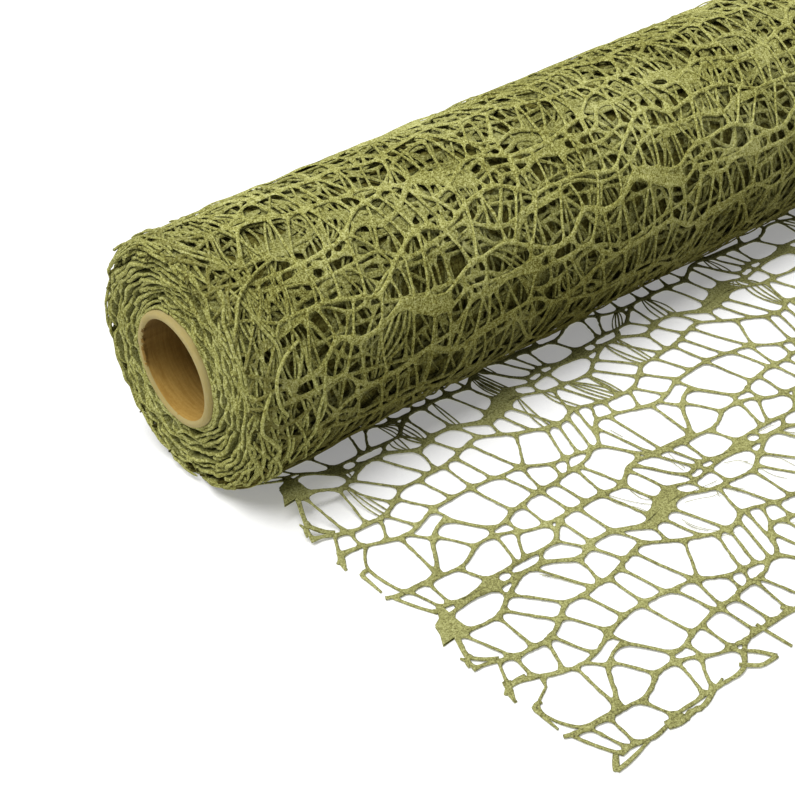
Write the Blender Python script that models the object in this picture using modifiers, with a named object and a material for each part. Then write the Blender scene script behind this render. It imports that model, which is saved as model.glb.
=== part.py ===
"""Roll of openwork netting on a cardboard core, its loose end laid out flat in front of it.

Metres, +Z up, X along the core. The origin is on the ground under the middle of the roll.
"""
import math
import random

import bmesh
import bpy
import numpy as np

MM = 0.001
SEED = 41

# The core is a common 38 mm paper tube.
ROLL_LENGTH = 500 * MM
CORE_BORE_RADIUS = 19.0 * MM
CORE_RADIUS = 21.7 * MM
CORE_STEPS = 48
CORE_END_ROUNDING = 0.4 * MM

# The wound netting: its turns stand a little back from the ends of the core.
NODE_GAP = 0.3 * MM
ROLL_RADIUS = 46.8 * MM
ROLL_AXIS_HEIGHT = 46.55 * MM
ROLL_STEPS = 64
ROLL_END_INSET = 0.9 * MM
RIM_ROUNDING = 5.0 * MM
RIM_TAPER = 1.2 * MM
RIM_DROP = 2.2 * MM
MID_FULLNESS = 1.3 * MM
TURN_RIDGE_PITCH = 4.8 * MM
TURN_RIDGE_HEIGHT = 1.0 * MM
END_DEPTH = 12.0 * MM
END_RINGS = 12
SIDE_RINGS = 17
LUMP_HEIGHT = 1.5 * MM
LUMP_PITCH = (14.0, 75.0)
LUMP_WAVES = 9

# Below these parts of the radius the wound net is pressed true by its own weight.
UNDERSIDE = (-0.97, -0.7)

# The loose end lies from under the roll to its cut end.
SHEET_THICKNESS = 1.2 * MM
SHEET_NEAR_ROLL = -13.5 * MM
SHEET_FIRST_GAP = -15.2 * MM
LEFT_CUT = 8.4
RIGHT_CUT = 491.5
LAST_RIB = 11
MOST_GAPS = 300
GAP_CORNERS = 8
GAP_FULLNESS = 1.06
SMALLEST_GAP = 4.0
LIFT_HEIGHT = 8.5 * MM
LIFT_WIDTH = (22.0 * MM, 44.0 * MM)
LIFT_FROM = -14.0 * MM
LIFT_TO = -66.0 * MM

# The net's repeat in millimetres. It is counted from CHART_X along the roll and down from CHART_Y.
REPEAT_X = 118.0
REPEAT_Y = 83.0
CHART_X = 12.0
CHART_Y = -72.0
SKEW = 4.0 / 118.0
RIB_HALF_WIDTH = 0.95
RUNG_HALF_WIDTH = 0.62
LEAST_BAND = 0.5
CORNER_ROUNDING = 7.0

# Each band of the repeat: how far down its upper rib runs at twelve even stations along X,
# and the rungs that cross it, as (where the rung leaves the upper rib, where it meets the next).
BANDS = (
    dict(
        rib=(-0.5, 0.4, 2.8, 3.6, 0.7, -0.1, -0.3, 1.0, 2.3, 7.6, 9.2, 10.6),
        rungs=((18, 17), (34, 31), (37, 42), (51.5, 53), (69.5, 72), (82, 84.5), (91, 87.5),
               (100.5, 98), (106.5, 102), (117, 117), (127, 127)),
    ),
    dict(
        rib=(27.0, 28.2, 27.3, 13.5, 8.7, 21.8, 20.0, 17.7, 16.8, 15.5, 14.2, 11.3),
        rungs=((31, 31), (43, 50), (61, 57.5), (66.5, 66), (76.5, 75.5), (86.5, 86.8),
               (93.5, 93.8), (104.8, 102), (106.5, 110.5), (127, 126)),
    ),
    dict(
        rib=(27.5, 29.0, 29.8, 30.0, 25.2, 26.3, 31.5, 32.2, 32.1, 32.0, 32.7, 26.3),
        rungs=((12.5, 18.5), (18.5, 21.5), (26, 24.5), (38, 41.5), (58.5, 54), (65.5, 57.5),
               (75.5, 75.5), (83, 83), (121, 121)),
    ),
    dict(
        rib=(43.0, 42.2, 43.8, 41.5, 41.2, 41.3, 41.0, 33.2, 32.6, 32.5, 33.2, 27.3),
        rungs=((12.5, 12.5), (20, 20), (27, 27), (44, 44), (49, 49.5), (64.5, 60), (71, 77),
               (80, 79.5), (89.5, 89.3), (100.5, 104.5), (110.5, 112.8), (117.5, 120)),
    ),
    dict(
        rib=(48.0, 46.2, 45.3, 46.5, 46.0, 46.8, 52.5, 49.2, 50.3, 54.0, 48.2, 44.8),
        rungs=((16.5, 16.5), (42, 42), (100, 100), (121.5, 121.5), (128.5, 128.5)),
    ),
    dict(
        rib=(55.0, 56.2, 56.8, 51.5, 46.7, 47.3, 53.0, 49.7, 50.8, 56.5, 54.7, 51.3),
        rungs=((16.5, 23), (32, 30.3), (35, 45), (41.5, 52.5), (56, 64.5), (70.5, 67.5),
               (77.5, 82), (89.7, 92.8), (101, 99), (106.5, 109.5), (112.5, 118.5),
               (128.5, 126)),
    ),
    dict(
        rib=(71.0, 74.2, 75.6, 73.5, 67.2, 66.8, 66.2, 63.7, 60.8, 66.5, 71.7, 74.3),
        rungs=((12.5, 6), (18, 12.5), (23.5, 21.5), (35.5, 29.5), (37.5, 43), (46.5, 53.5),
               (59, 61.5), (71.3, 70.8), (77.3, 79.3), (86.5, 91), (103.5, 91.8),
               (113.8, 106), (118.5, 111.5), (124.5, 117)),
    ),
)

# Meshes felted shut into solid web, as (band, rung at its left).
FELTED = {(4, 2), (4, 4)}

# Each material: its name, base colour and roughness.
MATERIALS = {
    "core_tube": ("kraft_board", (0.42, 0.27, 0.12, 1.0), 0.8),
    "net_roll": ("olive_net_wound", (0.17, 0.18, 0.06, 1.0), 0.95),
    "loose_net": ("olive_net", (0.26, 0.27, 0.10, 1.0), 0.95),
}


def clear_scene():
    for item in list(bpy.data.objects):
        bpy.data.objects.remove(item, do_unlink=True)


def make_material(name, colour, roughness):
    material = bpy.data.materials.new(name)
    material.use_nodes = True
    shader = material.node_tree.nodes["Principled BSDF"]
    shader.inputs["Base Color"].default_value = colour
    shader.inputs["Roughness"].default_value = roughness
    material.diffuse_color = colour
    return material


def add_part(name, mesh, collection):
    part = bpy.data.objects.new(name, mesh)
    collection.objects.link(part)
    mesh.materials.clear()
    mesh.materials.append(make_material(*MATERIALS[name]))
    return part


def baked_mesh(name, source):
    """The mesh that an object's curve or modifiers give, cleaned and facing outwards."""
    graph = bpy.context.evaluated_depsgraph_get()
    graph.update()
    mesh = bpy.data.meshes.new_from_object(source.evaluated_get(graph))
    mesh.name = name
    bpy.data.objects.remove(source, do_unlink=True)
    shape = bmesh.new()
    shape.from_mesh(mesh)
    bmesh.ops.remove_doubles(shape, verts=shape.verts, dist=1e-6)
    bmesh.ops.recalc_face_normals(shape, faces=shape.faces)
    shape.to_mesh(mesh)
    shape.free()
    return mesh


def turned(name, profile, steps):
    """A closed (x, radius) profile turned round the roll's axis."""
    mesh = bpy.data.meshes.new(name)
    count = len(profile)
    points = [(x, 0.0, radius) for x, radius in profile]
    edges = [(i, (i + 1) % count) for i in range(count)]
    mesh.from_pydata(points, edges, [])
    source = bpy.data.objects.new(name, mesh)
    bpy.context.scene.collection.objects.link(source)
    screw = source.modifiers.new("turn", "SCREW")
    screw.axis = "X"
    screw.angle = 2 * math.pi
    screw.steps = steps
    screw.render_steps = steps
    screw.use_merge_vertices = True
    screw.merge_threshold = 1e-5
    screw.use_smooth_shade = False
    return baked_mesh(name, source)


def move_vertices(mesh, rule):
    for vertex in mesh.vertices:
        vertex.co = rule(*vertex.co)
    mesh.update()


def smooth_step(value, low, high):
    t = min(max((value - low) / (high - low), 0.0), 1.0)
    return t * t * (3 - 2 * t)


def core_mesh():
    half = ROLL_LENGTH / 2
    bevel = CORE_END_ROUNDING
    profile = [
        (-half, CORE_BORE_RADIUS), (-half, CORE_RADIUS - bevel), (-half + bevel, CORE_RADIUS),
        (half - bevel, CORE_RADIUS), (half, CORE_RADIUS - bevel), (half, CORE_BORE_RADIUS),
    ]
    mesh = turned("core_tube", profile, CORE_STEPS)
    move_vertices(mesh, lambda x, y, z: (x, y, z + ROLL_AXIS_HEIGHT))
    return mesh


def end_inset(radius):
    """How far the wound turns stand back from the end of the core."""
    rim = max(0.0, radius - (ROLL_RADIUS - RIM_ROUNDING)) / RIM_ROUNDING
    return ROLL_END_INSET + RIM_TAPER * rim + RIM_DROP * rim ** 4


def roll_mesh():
    half = ROLL_LENGTH / 2
    inner = CORE_RADIUS + NODE_GAP
    ring_radii = [inner + (ROLL_RADIUS - inner) * i / (END_RINGS - 1) for i in range(END_RINGS)]
    left = [(-half + end_inset(radius), radius) for radius in ring_radii]
    right = [(-x, radius) for x, radius in reversed(left)]
    start = left[-1][0]
    side = []
    for i in range(1, SIDE_RINGS):
        x = start + (right[0][0] - start) * i / SIDE_RINGS
        side.append((x, ROLL_RADIUS))
    mesh = turned("net_roll", left + side + right, ROLL_STEPS)

    dice = random.Random(SEED)
    waves = []
    for _ in range(LUMP_WAVES):
        pitch = dice.uniform(*LUMP_PITCH) * MM
        waves.append((pitch, dice.randint(2, 9), dice.uniform(0, 2 * math.pi),
                      dice.uniform(0.3, 1.0)))
    total = sum(wave[3] for wave in waves)

    def uneven(x, y, z):
        radius = math.hypot(y, z)
        angle = math.atan2(y, z)
        lumps = 0.0
        for pitch, around, phase, size in waves:
            lumps += size * math.sin(2 * math.pi * x / pitch + around * angle + phase)
        lumps *= LUMP_HEIGHT / total
        outward = smooth_step(radius, inner, ROLL_RADIUS)
        fuller = MID_FULLNESS * math.sqrt(max(0.0, 1 - (x / half) ** 2))
        outward *= smooth_step(z / radius, *UNDERSIDE)
        grown = radius + outward * (fuller + lumps)
        if abs(x) > half - END_DEPTH:
            turn = (radius - inner) / TURN_RIDGE_PITCH - math.copysign(angle, x) / (2 * math.pi)
            ridge = TURN_RIDGE_HEIGHT * (0.5 - 0.5 * math.cos(2 * math.pi * turn))
            ridge *= smooth_step(radius, inner, inner + TURN_RIDGE_PITCH)
            x -= math.copysign(ridge + 0.4 * lumps * outward, x)
        scale = grown / radius
        z = z * scale + ROLL_AXIS_HEIGHT
        return x, y * scale, max(z, 0.0)

    move_vertices(mesh, uneven)
    return mesh


def rib_depth(rib, x):
    """How far down the chart a rib runs at x, its twelve stations joined by a smooth line."""
    turn, band = divmod(rib, len(BANDS))
    depth = -1e9
    for row in BANDS[:band + 1]:
        stations = row["rib"]
        count = len(stations)
        place = (x - CHART_X) / REPEAT_X * count
        base = math.floor(place)
        t = place - base
        a, b, c, d = (stations[(base + j) % count] for j in (-1, 0, 1, 2))
        line = 0.5 * (2 * b + (c - a) * t + (2 * a - 5 * b + 4 * c - d) * t * t
                      + (3 * b - a - 3 * c + d) * t ** 3)
        depth = max(line, depth + LEAST_BAND)
    return turn * REPEAT_Y + depth


def net_point(x, depth):
    """A chart point on the ground in millimetres, drawn a little out of true."""
    y = CHART_Y - depth - SKEW * (x - CHART_X)
    return (
        x + 1.3 * math.sin(0.031 * x + 0.052 * y + 1.0) + 0.8 * math.sin(0.083 * y - 0.02 * x),
        y + 1.2 * math.sin(0.027 * x - 0.041 * y) + 0.7 * math.sin(0.071 * x + 0.5),
    )


def band_rungs(rib):
    """Every rung from one rib to the next that the loose end keeps, left to right."""
    band = rib % len(BANDS)
    found = []
    for column in range(-1, 6):
        for number, (head, foot) in enumerate(BANDS[band]["rungs"]):
            head_x = head + column * REPEAT_X
            foot_x = foot + column * REPEAT_X
            if LEFT_CUT <= (head_x + foot_x) / 2 <= RIGHT_CUT:
                found.append((head_x, foot_x, (band, number)))
    return found


def rib_line(rib, start, end, step=4.0):
    count = max(1, math.ceil(abs(end - start) / step))
    places = [start + (end - start) * i / count for i in range(count + 1)]
    return [net_point(x, rib_depth(rib, x)) for x in places]


def mesh_gap(rib, left, right):
    """The rounded gap between two rungs and two ribs: its corners and its area, or None."""
    upper = rib_line(rib, left[0], right[0])
    lower = rib_line(rib + 1, right[1], left[1])
    corners = np.array(upper + lower)
    widths = [RIB_HALF_WIDTH] * (len(upper) - 1) + [RUNG_HALF_WIDTH]
    widths += [RIB_HALF_WIDTH] * (len(lower) - 1) + [RUNG_HALF_WIDTH]
    sides = np.roll(corners, -1, 0) - corners
    lengths = np.hypot(sides[:, 0], sides[:, 1])
    kept = lengths > 1e-6
    corners, sides, lengths = corners[kept], sides[kept], lengths[kept]
    widths = np.array(widths)[kept]
    normals = np.stack([sides[:, 1], -sides[:, 0]], 1) / lengths[:, None]
    following = corners + sides
    doubled = (corners[:, 0] * following[:, 1] - following[:, 0] * corners[:, 1]).sum()
    if doubled < 0:
        normals = -normals
    middles = corners + sides / 2
    blends = np.linspace(0.0, 1.0, 9)
    centre = (middles * lengths[:, None]).sum(0) / lengths.sum()
    best = None
    for point in middles:
        for blend in blends:
            trial = centre + (point - centre) * blend * 0.6
            reach = (((corners - trial) * normals).sum(1) - widths).min()
            if best is None or reach > best[0]:
                best = (reach, trial)
    reach, centre = best
    if reach < 0.9:
        return None
    room = ((corners - centre) * normals).sum(1) - widths
    travelled = np.concatenate([[0.0], np.cumsum(lengths)])
    points = []
    for i in range(GAP_CORNERS * 4):
        along = (i + 0.5) / (GAP_CORNERS * 4) * travelled[-1]
        side = int(np.searchsorted(travelled, along, side="right")) - 1
        target = corners[side] + sides[side] * (along - travelled[side]) / lengths[side]
        direction = (target - centre) / np.linalg.norm(target - centre)
        facing = normals @ direction
        limits = np.where(facing > 1e-3, facing / room, 0.0)
        distance = (limits ** CORNER_ROUNDING).sum() ** (-1 / CORNER_ROUNDING)
        points.append(centre + direction * distance * GAP_FULLNESS)
    points = np.array(points)
    turned_points = np.roll(points, -1, 0)
    area = abs((points[:, 0] * turned_points[:, 1] - turned_points[:, 0] * points[:, 1]).sum()) / 2
    return points, area


def thinned(points, count):
    """The corners of a closed line that hold most of its area, dropping the flattest first."""
    points = [tuple(point) for point in points]
    while len(points) > count:
        least = None
        for i, (x, y) in enumerate(points):
            ax, ay = points[i - 1]
            bx, by = points[(i + 1) % len(points)]
            loss = abs((x - ax) * (by - ay) - (bx - ax) * (y - ay))
            if least is None or loss < least[0]:
                least = (loss, i)
        points.pop(least[1])
    return points


def cut_above(points, limit):
    """A closed line without what lies above y = limit."""
    result = []
    for i, (x, y) in enumerate(points):
        ax, ay = points[i - 1]
        if (ay - limit) * (y - limit) < 0:
            t = (limit - ay) / (y - ay)
            result.append((ax + (x - ax) * t, limit))
        if y <= limit:
            result.append((x, y))
    return result


def net_gaps():
    """The largest gaps of the loose end, at most MOST_GAPS of them."""
    found = []
    for rib in range(-len(BANDS), LAST_RIB):
        rungs = band_rungs(rib)
        for left, right in zip(rungs, rungs[1:]):
            if left[2] in FELTED:
                continue
            gap = mesh_gap(rib, left, right)
            if gap is None:
                continue
            points = cut_above(thinned(gap[0], GAP_CORNERS), SHEET_FIRST_GAP / MM)
            if len(points) < 3:
                continue
            ys = [point[1] for point in points]
            xs = [point[0] for point in points]
            if max(max(xs) - min(xs), max(ys) - min(ys)) < SMALLEST_GAP or max(ys) - min(ys) < 1.5:
                continue
            found.append((gap[1], points))
    found.sort(key=lambda item: -item[0])
    return [points for area, points in found[:MOST_GAPS]]


def net_outline():
    """The edge of the loose end: cut rungs down both sides, with a stub at each rib."""
    dice = random.Random(SEED + 1)
    left_side = []
    right_side = []
    top = SHEET_NEAR_ROLL / MM
    for rib in range(-len(BANDS), LAST_RIB):
        rungs = band_rungs(rib)
        for side, rung, way in ((left_side, rungs[0], -1), (right_side, rungs[-1], 1)):
            head = net_point(rung[0] + way * 0.9, rib_depth(rib, rung[0]) + 1.6)
            foot = net_point(rung[1] + way * 0.9, rib_depth(rib + 1, rung[1]) - 1.6)
            stub = net_point(rung[1] + way * dice.uniform(2.0, 6.0), rib_depth(rib + 1, rung[1]))
            if head[1] - foot[1] > 1.0:
                side.append(head)
                side.append(foot)
            side.append((stub[0], stub[1] + 0.7))
            side.append((stub[0], stub[1] - 0.7))
    outline = []
    for side in (left_side, right_side):
        ordered = []
        lowest = top
        for x, y in side:
            if y < lowest - 0.5:
                ordered.append((x, y))
                lowest = y
        ordered.insert(0, (ordered[0][0], top))
        outline.append(ordered)
    left_line, right_line = outline
    end = []
    x = left_line[-1][0] + 3.0
    while x < right_line[-1][0] - 6.0:
        edge = net_point(x, rib_depth(LAST_RIB, x) + RIB_HALF_WIDTH)
        end.append(edge)
        if dice.random() < 0.4:
            reach = dice.uniform(2.0, 6.0)
            lean = dice.uniform(-1.5, 1.5)
            end.append((edge[0] + lean + 0.2, edge[1] - reach))
            end.append((edge[0] + lean + 1.4, edge[1] - reach))
            end.append(net_point(x + 1.6, rib_depth(LAST_RIB, x + 1.6) + RIB_HALF_WIDTH))
            x += 1.6
        x += dice.uniform(3.5, 6.5)
    return left_line + end + list(reversed(right_line))


def lift(x, y):
    """The left corner next to the roll stands up off the ground where it leaves the roll."""
    from_left = (x + ROLL_LENGTH / 2)
    across = 1 - smooth_step(from_left, *LIFT_WIDTH)
    if not LIFT_TO < y < LIFT_FROM:
        return 0.0
    along = (y - LIFT_TO) / (LIFT_FROM - LIFT_TO)
    return LIFT_HEIGHT * across * math.sin(math.pi * along) ** 2


def sheet_mesh():
    curve = bpy.data.curves.new("loose_net", "CURVE")
    curve.dimensions = "2D"
    curve.fill_mode = "BOTH"
    curve.extrude = SHEET_THICKNESS / 2
    for line in [net_outline()] + net_gaps():
        spline = curve.splines.new("POLY")
        spline.points.add(len(line) - 1)
        for point, (x, y) in zip(spline.points, line):
            point.co = (x * MM - ROLL_LENGTH / 2, y * MM, 0.0, 1.0)
        spline.use_cyclic_u = True
    source = bpy.data.objects.new("loose_net", curve)
    bpy.context.scene.collection.objects.link(source)
    mesh = baked_mesh("loose_net", source)
    move_vertices(mesh, lambda x, y, z: (x, y, z + SHEET_THICKNESS / 2 + lift(x, y)))
    return mesh


def main():
    clear_scene()
    part = bpy.data.collections.new("polycotton_netting_roll")
    bpy.context.scene.collection.children.link(part)
    add_part("core_tube", core_mesh(), part)
    add_part("net_roll", roll_mesh(), part)
    add_part("loose_net", sheet_mesh(), part)


main()
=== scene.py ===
import math

import bpy
import numpy as np
from mathutils import Matrix, Vector


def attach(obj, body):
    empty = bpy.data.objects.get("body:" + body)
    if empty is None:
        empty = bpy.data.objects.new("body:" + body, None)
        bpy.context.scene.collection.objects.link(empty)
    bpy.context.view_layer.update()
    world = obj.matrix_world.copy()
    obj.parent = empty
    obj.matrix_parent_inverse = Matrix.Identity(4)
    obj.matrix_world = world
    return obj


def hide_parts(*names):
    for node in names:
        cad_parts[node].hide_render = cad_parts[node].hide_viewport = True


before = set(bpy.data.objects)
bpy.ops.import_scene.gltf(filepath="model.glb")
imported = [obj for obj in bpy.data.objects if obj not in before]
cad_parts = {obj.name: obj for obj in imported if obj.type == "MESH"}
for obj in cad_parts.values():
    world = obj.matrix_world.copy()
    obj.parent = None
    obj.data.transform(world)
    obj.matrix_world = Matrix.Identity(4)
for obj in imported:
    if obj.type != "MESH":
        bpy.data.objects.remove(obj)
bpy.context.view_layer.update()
mm = 0.001
weld = 2e-6  # metres within which points are one

camera = {
    "place": (-491.1, -438.0, 371.3),  # millimetres from the ground under the roll's middle
    "yaw": 37.62,
    "pitch": 34.61,
    "roll": 3.30,
    "lens": 77.68,
}

light = {
    "world": 0.24,
    "overhead": 3.8,
    "glow": 0.25,          # the white ground's own light
    "ground": 0.74,
    "groundHalf": 6.0,     # metres
    "spread": 46.0,        # degrees across, so that shadows are soft
    "from": (-0.28, 0.07, 1.0),
}

rollSizes = {
    "length": 500.0,
    "axisHeight": 46.55,
    "radius": 46.9,
    "fullness": 1.3,       # how much fatter the roll is at mid length
    "turnGap": 0.6,        # from one turn of net to the next
    "relief": 0.58,        # half a strand's height on the roll
    "ends": (2.5, 497.5),
    "sink": (2.2, 6.0),    # how far the turns sink at an end, and over what length
    "lumps": 0.6,
    "crinkle": 0.32,
    "lumpSeed": 31,
}
halfLength = rollSizes["length"] / 2

# One row for each turn from the outside in: how far its pattern is slipped along and round, how
# far its strands wander from the flat pattern, and how pale it is: deeper turns darker, as
# painted shade.
turns = (
    {"along": -33.0, "round": 0.0, "wander": 2.2, "tone": 1.03},
    {"along": -3.0, "round": 47.0, "wander": 3.2, "tone": 0.93},
    {"along": -44.0, "round": 44.0, "wander": 4.0, "tone": 0.80},
    {"along": 41.0, "round": 42.0, "wander": 4.5, "tone": 0.74},
    {"along": 20.0, "round": 15.0, "wander": 4.5, "tone": 0.60},
    {"along": -70.0, "round": 66.0, "wander": 4.5, "tone": 0.48},
)

sheetSizes = {
    "cutLine": {"left": 9.8, "right": 489.6, "underRoll": -6.0, "end": (127.8, 116.5),
                "rough": 1.3},
    "flat": (0.48, 0.189),  # metres, as cut
    "strandArea": 0.036,    # square metres that its strands cover
    "thickness": 0.9,
    "waves": (0.55, 0.15),
    "stubsFrom": 300,       # beyond it what is left of cut meshes stays on
    "liftHeight": 8.5,
    "liftWidth": (22.0, 44.0),
    "liftFrom": -14.0,
    "liftTo": -66.0,
}

# The net's strands lying flat, and wound tight on the roll.
flatStrands = {"rib": 0.75, "rung": 0.54, "corner": 1.45, "step": 1.7}
woundStrands = {"rib": 0.72, "rung": 0.5, "corner": 0.7, "step": 2.6}
innerStrands = {**woundStrands, "step": 3.5}
rounding = 0.6   # how softly the sides of a gap run together
frayed = 0.19
gapGrid = (22, 18)

# The net's repeat, in millimetres: each band's upper rib at twelve stations, and its rungs as
# (where the rung leaves the upper rib, where it meets the next).
netChart = {
    "width": 118.0,
    "depth": 83.0,
    "startX": 12.0,
    "startY": -72.0,
    "skew": 4.0 / 118.0,
    "leastBand": 0.02,
    "slack": {"y": -158.5, "spread": 6.5, "by": 2.6, "upTo": (48, 66)},  # one rib hangs lower
    "drift": (130.0, 200.0),  # where the repeat begins to drift, and where it does so fully
    "bow": (0.35, 5.1, 2.7),  # how far rungs bow, and how that changes by band and by rung
    "bands": (
        {"rib": (-0.5, 0.4, 4.4, 4.8, 0.7, -0.1, -0.3, 1.0, 2.3, 7.6, 9.2, 10.6),
         "rungs": ((18, 17), (34, 31), (37, 42), (51.5, 53), (69.5, 72), (82, 84.5), (91, 87.5),
                   (100.5, 98), (106.5, 102), (117, 117), (127.5, 130.5))},
        {"rib": (27.0, 28.2, 27.3, 13.5, 8.7, 21.8, 20.0, 17.7, 16.8, 15.5, 14.2, 11.3),
         "rungs": ((31, 31), (43, 50), (61, 57.5), (66.5, 66), (76.5, 75.5), (86.5, 86.8),
                   (93.5, 93.8), (104.8, 102), (106.5, 110.5), (127, 126))},
        {"rib": (27.5, 29.0, 29.8, 30.0, 25.2, 26.3, 31.5, 32.2, 32.1, 32.0, 32.7, 26.3),
         "rungs": ((12.5, 18.5), (18.5, 21.5), (26, 24.5), (38, 41.5), (58.5, 54), (65.5, 57.5),
                   (75.5, 75.5), (83, 83), (121, 121))},
        {"rib": (43.0, 42.2, 43.8, 41.5, 41.2, 41.3, 41.0, 33.2, 32.6, 32.5, 33.2, 27.3),
         "rungs": ((12.5, 12.5), (20, 20), (27, 27), (44, 44), (49, 49.5), (64.5, 60), (71, 77),
                   (80, 79.5), (89.5, 89.3), (100.5, 104.5), (110.5, 112.8), (117.5, 120))},
        {"rib": (48.0, 46.2, 45.3, 46.5, 46.0, 46.8, 52.5, 49.2, 50.3, 54.0, 48.2, 44.8),
         "rungs": ((20.5, 20.5), (41, 41), (49.5, 49.5), (100, 100), (121.5, 121.5),
                   (128.5, 128.5))},
        {"rib": (55.0, 56.2, 56.8, 51.5, 46.7, 47.3, 53.0, 49.7, 50.8, 56.5, 54.7, 51.3),
         "rungs": ((17.5, 22.8), (32, 30.3), (35, 45), (41.5, 52.5), (56, 64.5), (70.5, 67.5),
                   (77.5, 82), (89.7, 92.8), (101, 99), (106.5, 109.5), (112.5, 118.5),
                   (133.5, 128))},
        {"rib": (71.0, 74.2, 75.6, 73.5, 67.2, 66.8, 66.2, 63.7, 60.8, 66.5, 71.7, 74.3),
         "rungs": ((12.5, 6), (18, 12.5), (23.5, 21.5), (35.5, 29.5), (37.5, 43), (46.5, 53.5),
                   (59, 61.5), (71.3, 70.8), (77.3, 79.3), (86.5, 91), (103.5, 91.8),
                   (113.8, 106), (118.5, 111.5), (124.5, 117))},
    ),
    "felted": {(3, 2), (4, 3)},  # meshes felted shut, as (band, rung at its left)
}


def smoothStep(value, low, high):
    t = np.clip((np.asarray(value, float) - low) / (high - low), 0, 1)
    return t * t * (3 - 2 * t)


scramble = (374761393, 668265263, 2246822519, 1274126177)
lowBits = 0xFFFFFFFF


def lattice(i, j, seed):
    # a repeatable number from 0 to 1 for each whole place
    byI, byJ, bySeed, last = scramble
    n = (i.astype(np.int64) * byI + j.astype(np.int64) * byJ + seed * bySeed) & lowBits
    n = ((n ^ (n >> 13)) * last) & lowBits
    return ((n ^ (n >> 16)) & 0xFFFF) / 65535.0


def softNoise(x, y, seed):
    # smooth noise from -1 to 1, one lump to each unit
    x = np.asarray(x, float)
    y = np.asarray(y, float)
    i, j = np.floor(x), np.floor(y)
    u, v = x - i, y - j
    u, v = u * u * (3 - 2 * u), v * v * (3 - 2 * v)
    low = lattice(i, j, seed) * (1 - u) + lattice(i + 1, j, seed) * u
    high = lattice(i, j + 1, seed) * (1 - u) + lattice(i + 1, j + 1, seed) * u
    return (low * (1 - v) + high * v) * 2 - 1


def lineNoise(along, seed, row=0.0):
    return softNoise(along, along * 0 + row, seed)


def blended(a, b, c, d, t):
    # the smooth line from b to c, where it comes from a and goes on to d
    return 0.5 * (2 * b + (c - a) * t + (2 * a - 5 * b + 4 * c - d) * t * t
                  + (3 * b - a - 3 * c + d) * t ** 3)


# The net as a flat pattern.

def ribDepth(rib, x):
    # how far down the chart a rib runs at x
    turn, band = divmod(rib, len(netChart["bands"]))
    x = np.asarray(x, float)
    depth = np.full(x.shape, -1e9)
    for row in netChart["bands"][:band + 1]:
        stations = np.array(row["rib"])
        count = len(stations)
        place = (x - netChart["startX"]) / netChart["width"] * count
        base = np.floor(place).astype(int)
        line = blended(*(stations[(base + j) % count] for j in (-1, 0, 1, 2)), place - base)
        depth = np.maximum(line, depth + netChart["leastBand"])
    return turn * netChart["depth"] + depth


def ribPlaces(band, step):
    # the places along a rib where rungs meet it from both sides, with others between
    width = netChart["width"]
    bands = netChart["bands"]
    heads = [rung[0] for rung in bands[band]["rungs"]]
    feet = [rung[1] for rung in bands[band - 1]["rungs"]]
    joints = sorted({round(x % width, 3) for x in heads + feet})
    places = []
    for x, following in zip(joints, joints[1:] + [joints[0] + width]):
        count = max(1, math.ceil((following - x) / step))
        places += [x + (following - x) * i / count for i in range(count)]
    return np.array(places)


def between(places, start, end):
    # the rib places from start to end, both counted
    width = netChart["width"]
    first = math.floor(start / width) - 1
    spread = np.concatenate([places + width * k for k in range(first, first + 5)])
    return spread[(spread > start - 0.002) & (spread < end + 0.002)]


def cellTemplate(sizes):
    # every mesh of one repeat: its rim on the middles of the strands, and its rounded gap
    bands = netChart["bands"]
    step = sizes["step"]
    most, byBand, byRung = netChart["bow"]
    places = [ribPlaces(band, step) for band in range(len(bands))]
    cells = []
    for band, row in enumerate(bands):
        rungs = list(row["rungs"])
        rungs.append((rungs[0][0] + netChart["width"], rungs[0][1] + netChart["width"]))
        lower = places[(band + 1) % len(bands)]
        for k in range(len(rungs) - 1):
            (headA, footA), (headB, footB) = rungs[k], rungs[k + 1]
            top = between(places[band], headA, headB)
            foot = between(lower, footA, footB)[::-1]
            top = np.stack([top, ribDepth(band, top)], 1)
            foot = np.stack([foot, ribDepth(band + 1, foot)], 1)
            sides = []
            for start, end, number in ((top[-1], foot[0], k + 1), (foot[-1], top[0], k)):
                number = number % (len(rungs) - 1)
                count = max(1, round(np.linalg.norm(end - start) / (step * 1.1)))
                t = np.linspace(0, 1, count + 1)[1:-1]
                bow = most * math.sin(byBand * band + byRung * number) * np.sin(np.pi * t)
                line = start + (end - start) * t[:, None]
                line[:, 0] += bow
                sides.append(line)
            rim = np.concatenate([top, sides[0], foot, sides[1]])
            kind = np.array([0] * (len(top) - 1) + [1] * (len(sides[0]) + 1)
                            + [2] * (len(foot) - 1) + [3] * (len(sides[1]) + 1))
            gap = None if (band, k) in netChart["felted"] else roundedGap(rim, kind, sizes)
            cells.append(dict(band=band, rung=k, rim=rim, kind=kind, gap=gap))
    return cells


def inside(points, outline):
    # which points lie inside a closed line
    x, y = points[:, 0], points[:, 1]
    found = np.zeros(len(points), bool)
    for (ax, ay), (bx, by) in zip(outline, np.roll(outline, -1, 0)):
        if ay != by:
            found ^= ((ay > y) != (by > y)) & (x < (bx - ax) * (y - ay) / (by - ay) + ax)
    return found


def clearance(points, rim, half):
    # how far each point is from the face of each strand round a mesh
    side = np.roll(rim, -1, 0) - rim
    t = ((points[:, None] - rim) * side).sum(-1) / np.maximum((side * side).sum(-1), 1e-12)
    near = rim + np.clip(t, 0, 1)[..., None] * side
    return np.linalg.norm(points[:, None] - near, axis=-1) - half


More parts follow.
